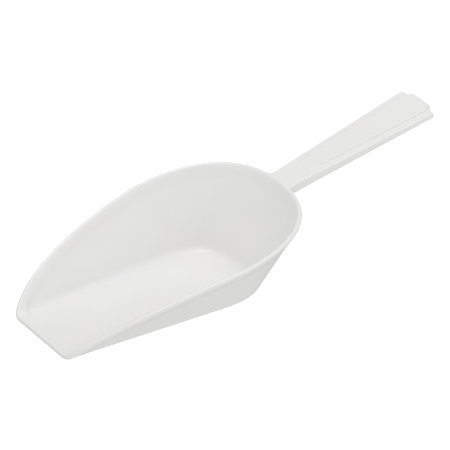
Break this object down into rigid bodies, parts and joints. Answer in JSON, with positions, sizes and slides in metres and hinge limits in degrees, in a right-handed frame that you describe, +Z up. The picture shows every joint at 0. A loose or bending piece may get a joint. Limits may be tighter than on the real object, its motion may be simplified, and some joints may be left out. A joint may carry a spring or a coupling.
{
  "type": "ice scoop",
  "caption": "White moulded plastic scoop with a flat floor, flared walls, a beaded rim and a stepped handle that widens to its end.",
  "frame": {"origin": "bottom centre of the whole scoop's box, on the plane the flat floor rests on", "axes": "+X from the lip to the end of the handle, +Y to the left seen from the handle, +Z up"},
  "size_m": [0.2656, 0.1142, 0.0722],
  "materials": {
    "white_plastic": "semi-gloss, slightly translucent natural white polypropylene"
  },
  "bodies": {
    "root": {"bowl_floor": "white_plastic", "bowl_wall": "white_plastic", "rim_bead": "white_plastic", "front_lip": "white_plastic", "handle_root": "white_plastic", "handle_plate": "white_plastic", "handle_flange_left": "white_plastic", "handle_flange_right": "white_plastic", "handle_end_wall": "white_plastic"}
  },
  "joints": []
}
